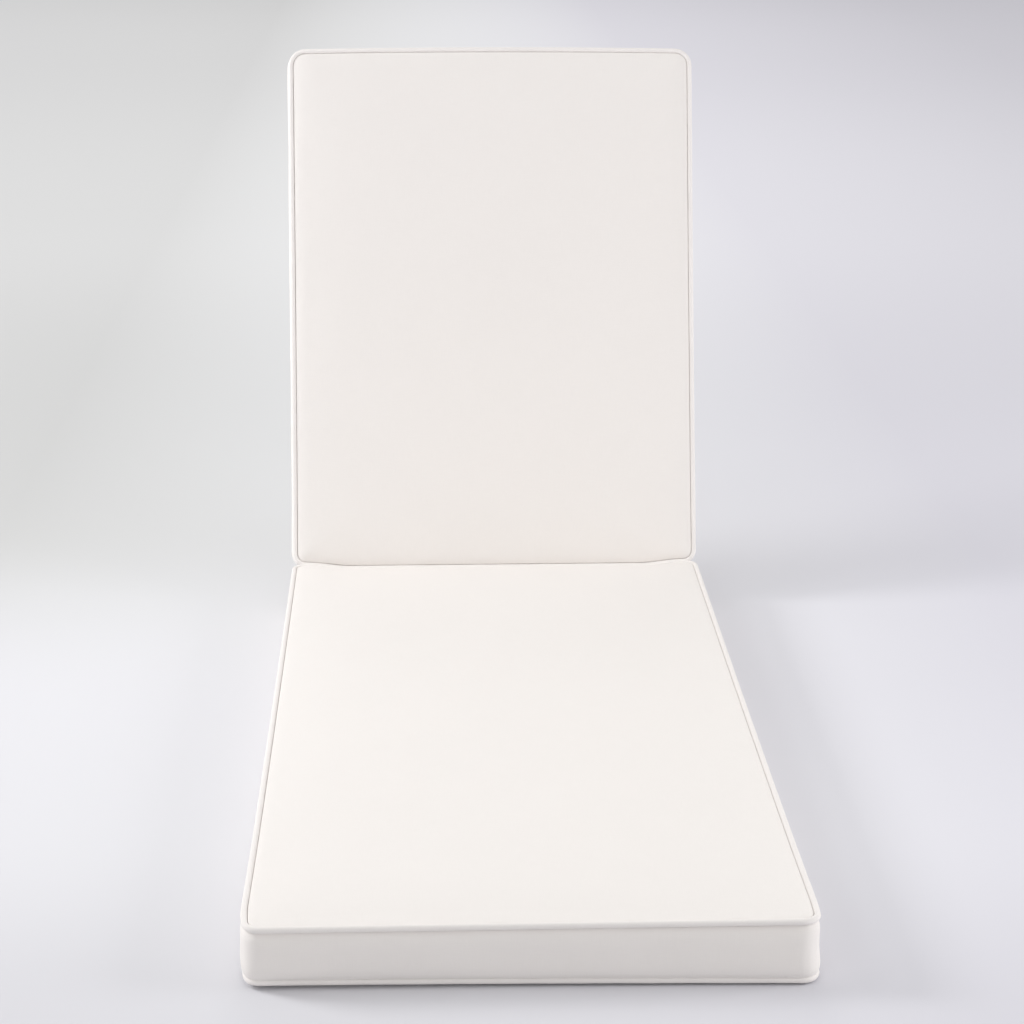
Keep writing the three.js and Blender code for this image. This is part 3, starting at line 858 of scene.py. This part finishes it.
def paper():
    """The floor's paper: a pale grey with painted light and shade, a soft wash to the front, the
    distance and the sides.

    Each part of the painted light and shade is a colour times a smooth share of the place, and the
    parts are added."""
    material = bpy.data.materials.new("paper floor with painted light")
    material.use_nodes = True
    tree = material.node_tree
    shader = tree.nodes["Principled BSDF"]
    coordinates = tree.nodes.new("ShaderNodeTexCoord")
    split = tree.nodes.new("ShaderNodeSeparateXYZ")
    tree.links.new(coordinates.outputs["Object"], split.inputs[0])
    right = calc(tree, "SUBTRACT", split.outputs["X"], HINGE_X)
    away = calc(tree, "SUBTRACT", split.outputs["Y"], HINGE_Y)

    def share(distance, start, end):
        """An S-shaped rise from 0 at one distance to 1 at another."""
        node = tree.nodes.new("ShaderNodeMapRange")
        node.interpolation_type = "SMOOTHSTEP"
        tree.links.new(distance, node.inputs["Value"])
        node.inputs["From Min"].default_value = start
        node.inputs["From Max"].default_value = end
        return node.outputs["Result"]

    def held(distance, reach):
        """A distance that stops at its reach, either way."""
        return calc(tree, "MAXIMUM", calc(tree, "MINIMUM", distance, reach), -reach)

    side = held(right, SIDE_REACH)
    beyond, far = share(away, *BEYOND), share(away, *FAR)
    middle = share(calc(tree, "ABSOLUTE", right), *PAINTED_LIGHT_ENDS_AT_THE_SIDES)
    # painted light and shade on the paper: darker to the sides and further in front, lighter further
    # off, each a tint times a smooth share of the place
    painted_light = [
        (side, PAINTED_LIGHT_TO_THE_RIGHT),
        (calc(tree, "MULTIPLY", side, side), PAINTED_SHADE_TO_THE_SIDES),
        (share(away, *IN_FRONT), PAINTED_SHADE_IN_FRONT),
        (beyond, PAINTED_SHADE_BEYOND),
        (calc(tree, "MULTIPLY", side, beyond), PAINTED_LIGHT_BEYOND_TO_THE_RIGHT),
        (far, PAINTED_LIGHT_FAR),
        (calc(tree, "MULTIPLY", held(right, FAR_SIDE_REACH), far), PAINTED_SHADE_FAR_TO_THE_RIGHT),
        (share(away, *FARTHEST), PAINTED_SHADE_FARTHEST),
    ]

    def scaled(tint, amount):
        """A colour times an amount."""
        node = tree.nodes.new("ShaderNodeVectorMath")
        node.operation = "SCALE"
        wire(tree, node.inputs[0], tint)
        wire(tree, node.inputs["Scale"], amount)
        return node.outputs[0]

    def added(first, second):
        """The sum of two colours."""
        node = tree.nodes.new("ShaderNodeVectorMath")
        wire(tree, node.inputs[0], first)
        wire(tree, node.inputs[1], second)
        return node.outputs[0]

    change = (0, 0, 0)
    for amount, tint in painted_light:
        change = added(change, scaled(tint, amount))
    within = calc(tree, "MULTIPLY", middle, share(away, *PAINTED_LIGHT_BEGINS))
    colour = added(PAPER, scaled(change, within))
    tree.links.new(colour, shader.inputs["Base Color"])
    shader.inputs["Roughness"].default_value = PAPER_ROUGHNESS
    shader.inputs["Specular IOR Level"].default_value = PAPER_SPECULAR
    return material


def studio():
    """A wide pale floor with painted light and shade on it, under soft white lamps and a faint even
    light.
    """
    corners = FLOOR_REACH * np.array([[-1.0, -1.0, 0], [1, -1, 0], [1, 1, 0], [-1, 1, 0]])
    floor = new_mesh("studio_floor", corners, np.array([[0, 1, 2, 3]]), material=paper())
    for name, location, target, size, power in LAMPS:
        location = (location[0] + HINGE_X, location[1] + HINGE_Y, location[2])
        target = (target[0] + HINGE_X, target[1] + HINGE_Y, target[2])
        area_light(name, location, target, size, power)
    world = bpy.data.worlds.new("even light")
    world.use_nodes = True
    light = world.node_tree.nodes["Background"]
    light.inputs["Color"].default_value = (1, 1, 1, 1)
    light.inputs["Strength"].default_value = EVEN_LIGHT_STRENGTH
    bpy.context.scene.world = world


def camera():
    """The camera by its place and turns: looking along +Y, turned to the right, down and over."""
    pan, tilt, roll = (math.radians(turn) for turn in (CAMERA_PAN, CAMERA_TILT, CAMERA_ROLL))
    level = math.cos(tilt)
    forward = Vector((math.sin(pan) * level, math.cos(pan) * level, -math.sin(tilt)))
    right = Vector((math.cos(pan), -math.sin(pan), 0))
    down = forward.cross(right)
    right, down = (
        right * math.cos(roll) + down * math.sin(roll),
        down * math.cos(roll) - right * math.sin(roll),
    )
    data = bpy.data.cameras.new("camera")
    data.sensor_width = SENSOR
    data.lens = FOCAL_PIXELS * SENSOR / PICTURE_SIDE
    obj = bpy.data.objects.new("camera", data)
    obj.location = (CAMERA_PLACE[0] + HINGE_X, CAMERA_PLACE[1] + HINGE_Y, CAMERA_PLACE[2])
    obj.rotation_euler = Matrix((right, -down, -forward)).transposed().to_euler()
    bpy.context.scene.collection.objects.link(obj)
    bpy.context.scene.camera = obj


camera()
studio()
view_settings = bpy.context.scene.view_settings
view_settings.view_transform = "Standard"

cover = canvas("cover canvas", COVER_COLOUR)
welt_cover = canvas("welt canvas", WELT_COLOUR, math.pi / 4)
strip_cover = canvas("strip canvas", COVER_COLOUR, 0.0, STRIP_STITCHES)

# Each welt's name, section, whether it is the upper one, its placing and the node it stands for
welts = [
    ("seat_upper_welt", seat, True, seat_place, "seat_top_welt"),
    ("seat_lower_welt", seat, False, seat_place, "seat_bottom_welt"),
    ("back_face_welt", back, True, back_place, "back_front_welt"),
    ("back_back_welt", back, False, back_place, "back_rear_welt"),
]
made = [
    (pad(seat, seat_place, cover), "seat_pad", "cover"),
    (pad(back, back_place, cover), "back_pad", "cover"),
]
for seed, (name, section, upper, placing, node) in enumerate(welts, FIRST_WELT_SEED):
    made.append((welt(section, upper, name, placing, welt_cover, seed), node, "welt"))
made.append((hinge_strip(strip_cover), "hinge_strip", "cover"))
for piece, node, finish in made:
    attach(piece, "root")
    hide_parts(node)
